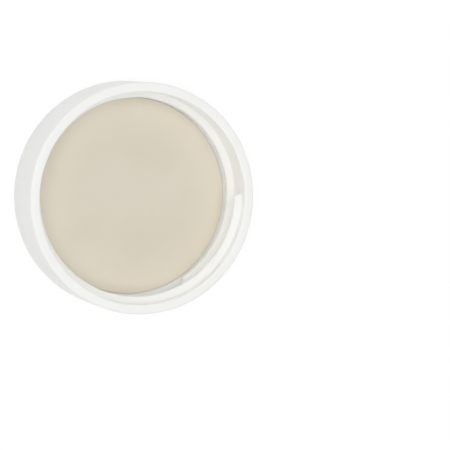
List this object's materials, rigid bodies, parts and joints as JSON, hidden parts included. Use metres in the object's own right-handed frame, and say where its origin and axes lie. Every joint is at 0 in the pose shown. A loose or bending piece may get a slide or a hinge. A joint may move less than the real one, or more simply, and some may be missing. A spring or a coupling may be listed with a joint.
{
  "type": "septum screw cap",
  "caption": "Open-top screw cap with a smooth skirt, an internal right-hand thread and a faced silicone sealing disc, lying on its top with the mouth up.",
  "frame": {"origin": "middle of the outer face of the flat top, which the cap lies on", "axes": "+Z along the cap's axis and out of its mouth; +X and +Y square to it, with the thread's mouth end 12 degrees from +X towards +Y"},
  "size_m": [0.0412, 0.0412, 0.0125],
  "materials": {
    "polypropylene": "satin moulded",
    "silicone": "matte",
    "facing_film": "smooth matte"
  },
  "bodies": {
    "root": {"cap_shell": "polypropylene", "silicone_septum": "silicone", "septum_facing": "facing_film"}
  },
  "joints": []
}
